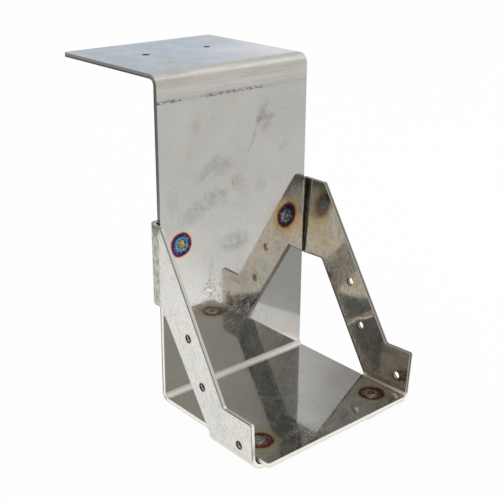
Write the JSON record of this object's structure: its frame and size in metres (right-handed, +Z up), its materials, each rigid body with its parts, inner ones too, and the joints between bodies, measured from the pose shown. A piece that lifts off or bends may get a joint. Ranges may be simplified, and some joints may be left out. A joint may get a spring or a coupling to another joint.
{
  "type": "masonry joist hanger",
  "caption": "Stainless steel joist hanger for a masonry wall: folded strap with a top flange, back plate and seat, and nailed side brackets held by plug welds.",
  "frame": {"origin": "centre of the seat's top face, where the joist bears", "axes": "+Z up, +Y from the joist towards the wall, +X across the joist to the right as seen from the joist's side"},
  "size_m": [0.1115, 0.1689, 0.1812],
  "materials": {
    "strap_sheet": "bright cold rolled stainless sheet",
    "bracket_sheet": "bright cold rolled stainless sheet with heat tint",
    "weld_metal": "oxidised weld"
  },
  "bodies": {
    "root": {"main_strap": "strap_sheet", "left_bracket": "bracket_sheet", "right_bracket": "bracket_sheet", "left_plate_weld": "weld_metal", "right_plate_weld": "weld_metal", "left_seat_weld": "weld_metal", "right_seat_weld": "weld_metal"}
  },
  "joints": []
}
